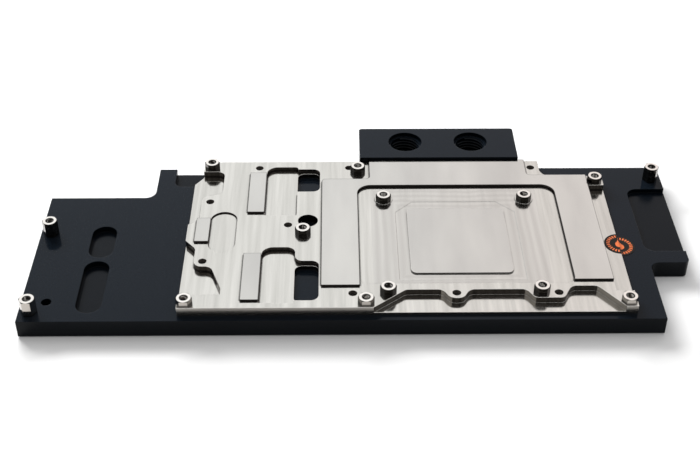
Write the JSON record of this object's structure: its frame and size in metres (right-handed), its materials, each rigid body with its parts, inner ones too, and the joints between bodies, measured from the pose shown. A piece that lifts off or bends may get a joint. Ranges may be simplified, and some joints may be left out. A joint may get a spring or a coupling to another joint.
{
  "type": "liquid cooling cold plate",
  "caption": "Long full-cover water block for a graphics card: black acetal top, nickel-plated cold plate and a side terminal with threaded ports, lying cold side up.",
  "frame": {"origin": "on the outer face, under the middle of the four chip posts", "axes": "+Z out of the cold side towards the circuit board, +X along the card towards its bracket-free short end, +Y across the card towards the terminal block"},
  "size_m": [0.2365, 0.1105, 0.013],
  "materials": {
    "black_acetal": "satin milled",
    "nickel": "satin nickel plate on copper",
    "nickel_post": "bright nickel plate on brass",
    "stainless": "satin",
    "seal_rubber": "matt",
    "label_paper": "printed vinyl"
  },
  "bodies": {
    "root": {"top_plate": "black_acetal", "terminal_block": "black_acetal", "cold_plate": "nickel", "jet_plate": "stainless", "main_seal": "seal_rubber", "island_seal": "seal_rubber", "port_seals": "seal_rubber", "base_screws": "stainless", "terminal_screws": "stainless", "gpu_standoffs": "nickel_post", "board_standoffs": "nickel_post", "tall_standoffs": "nickel_post", "seal_label": "label_paper"}
  },
  "joints": []
}
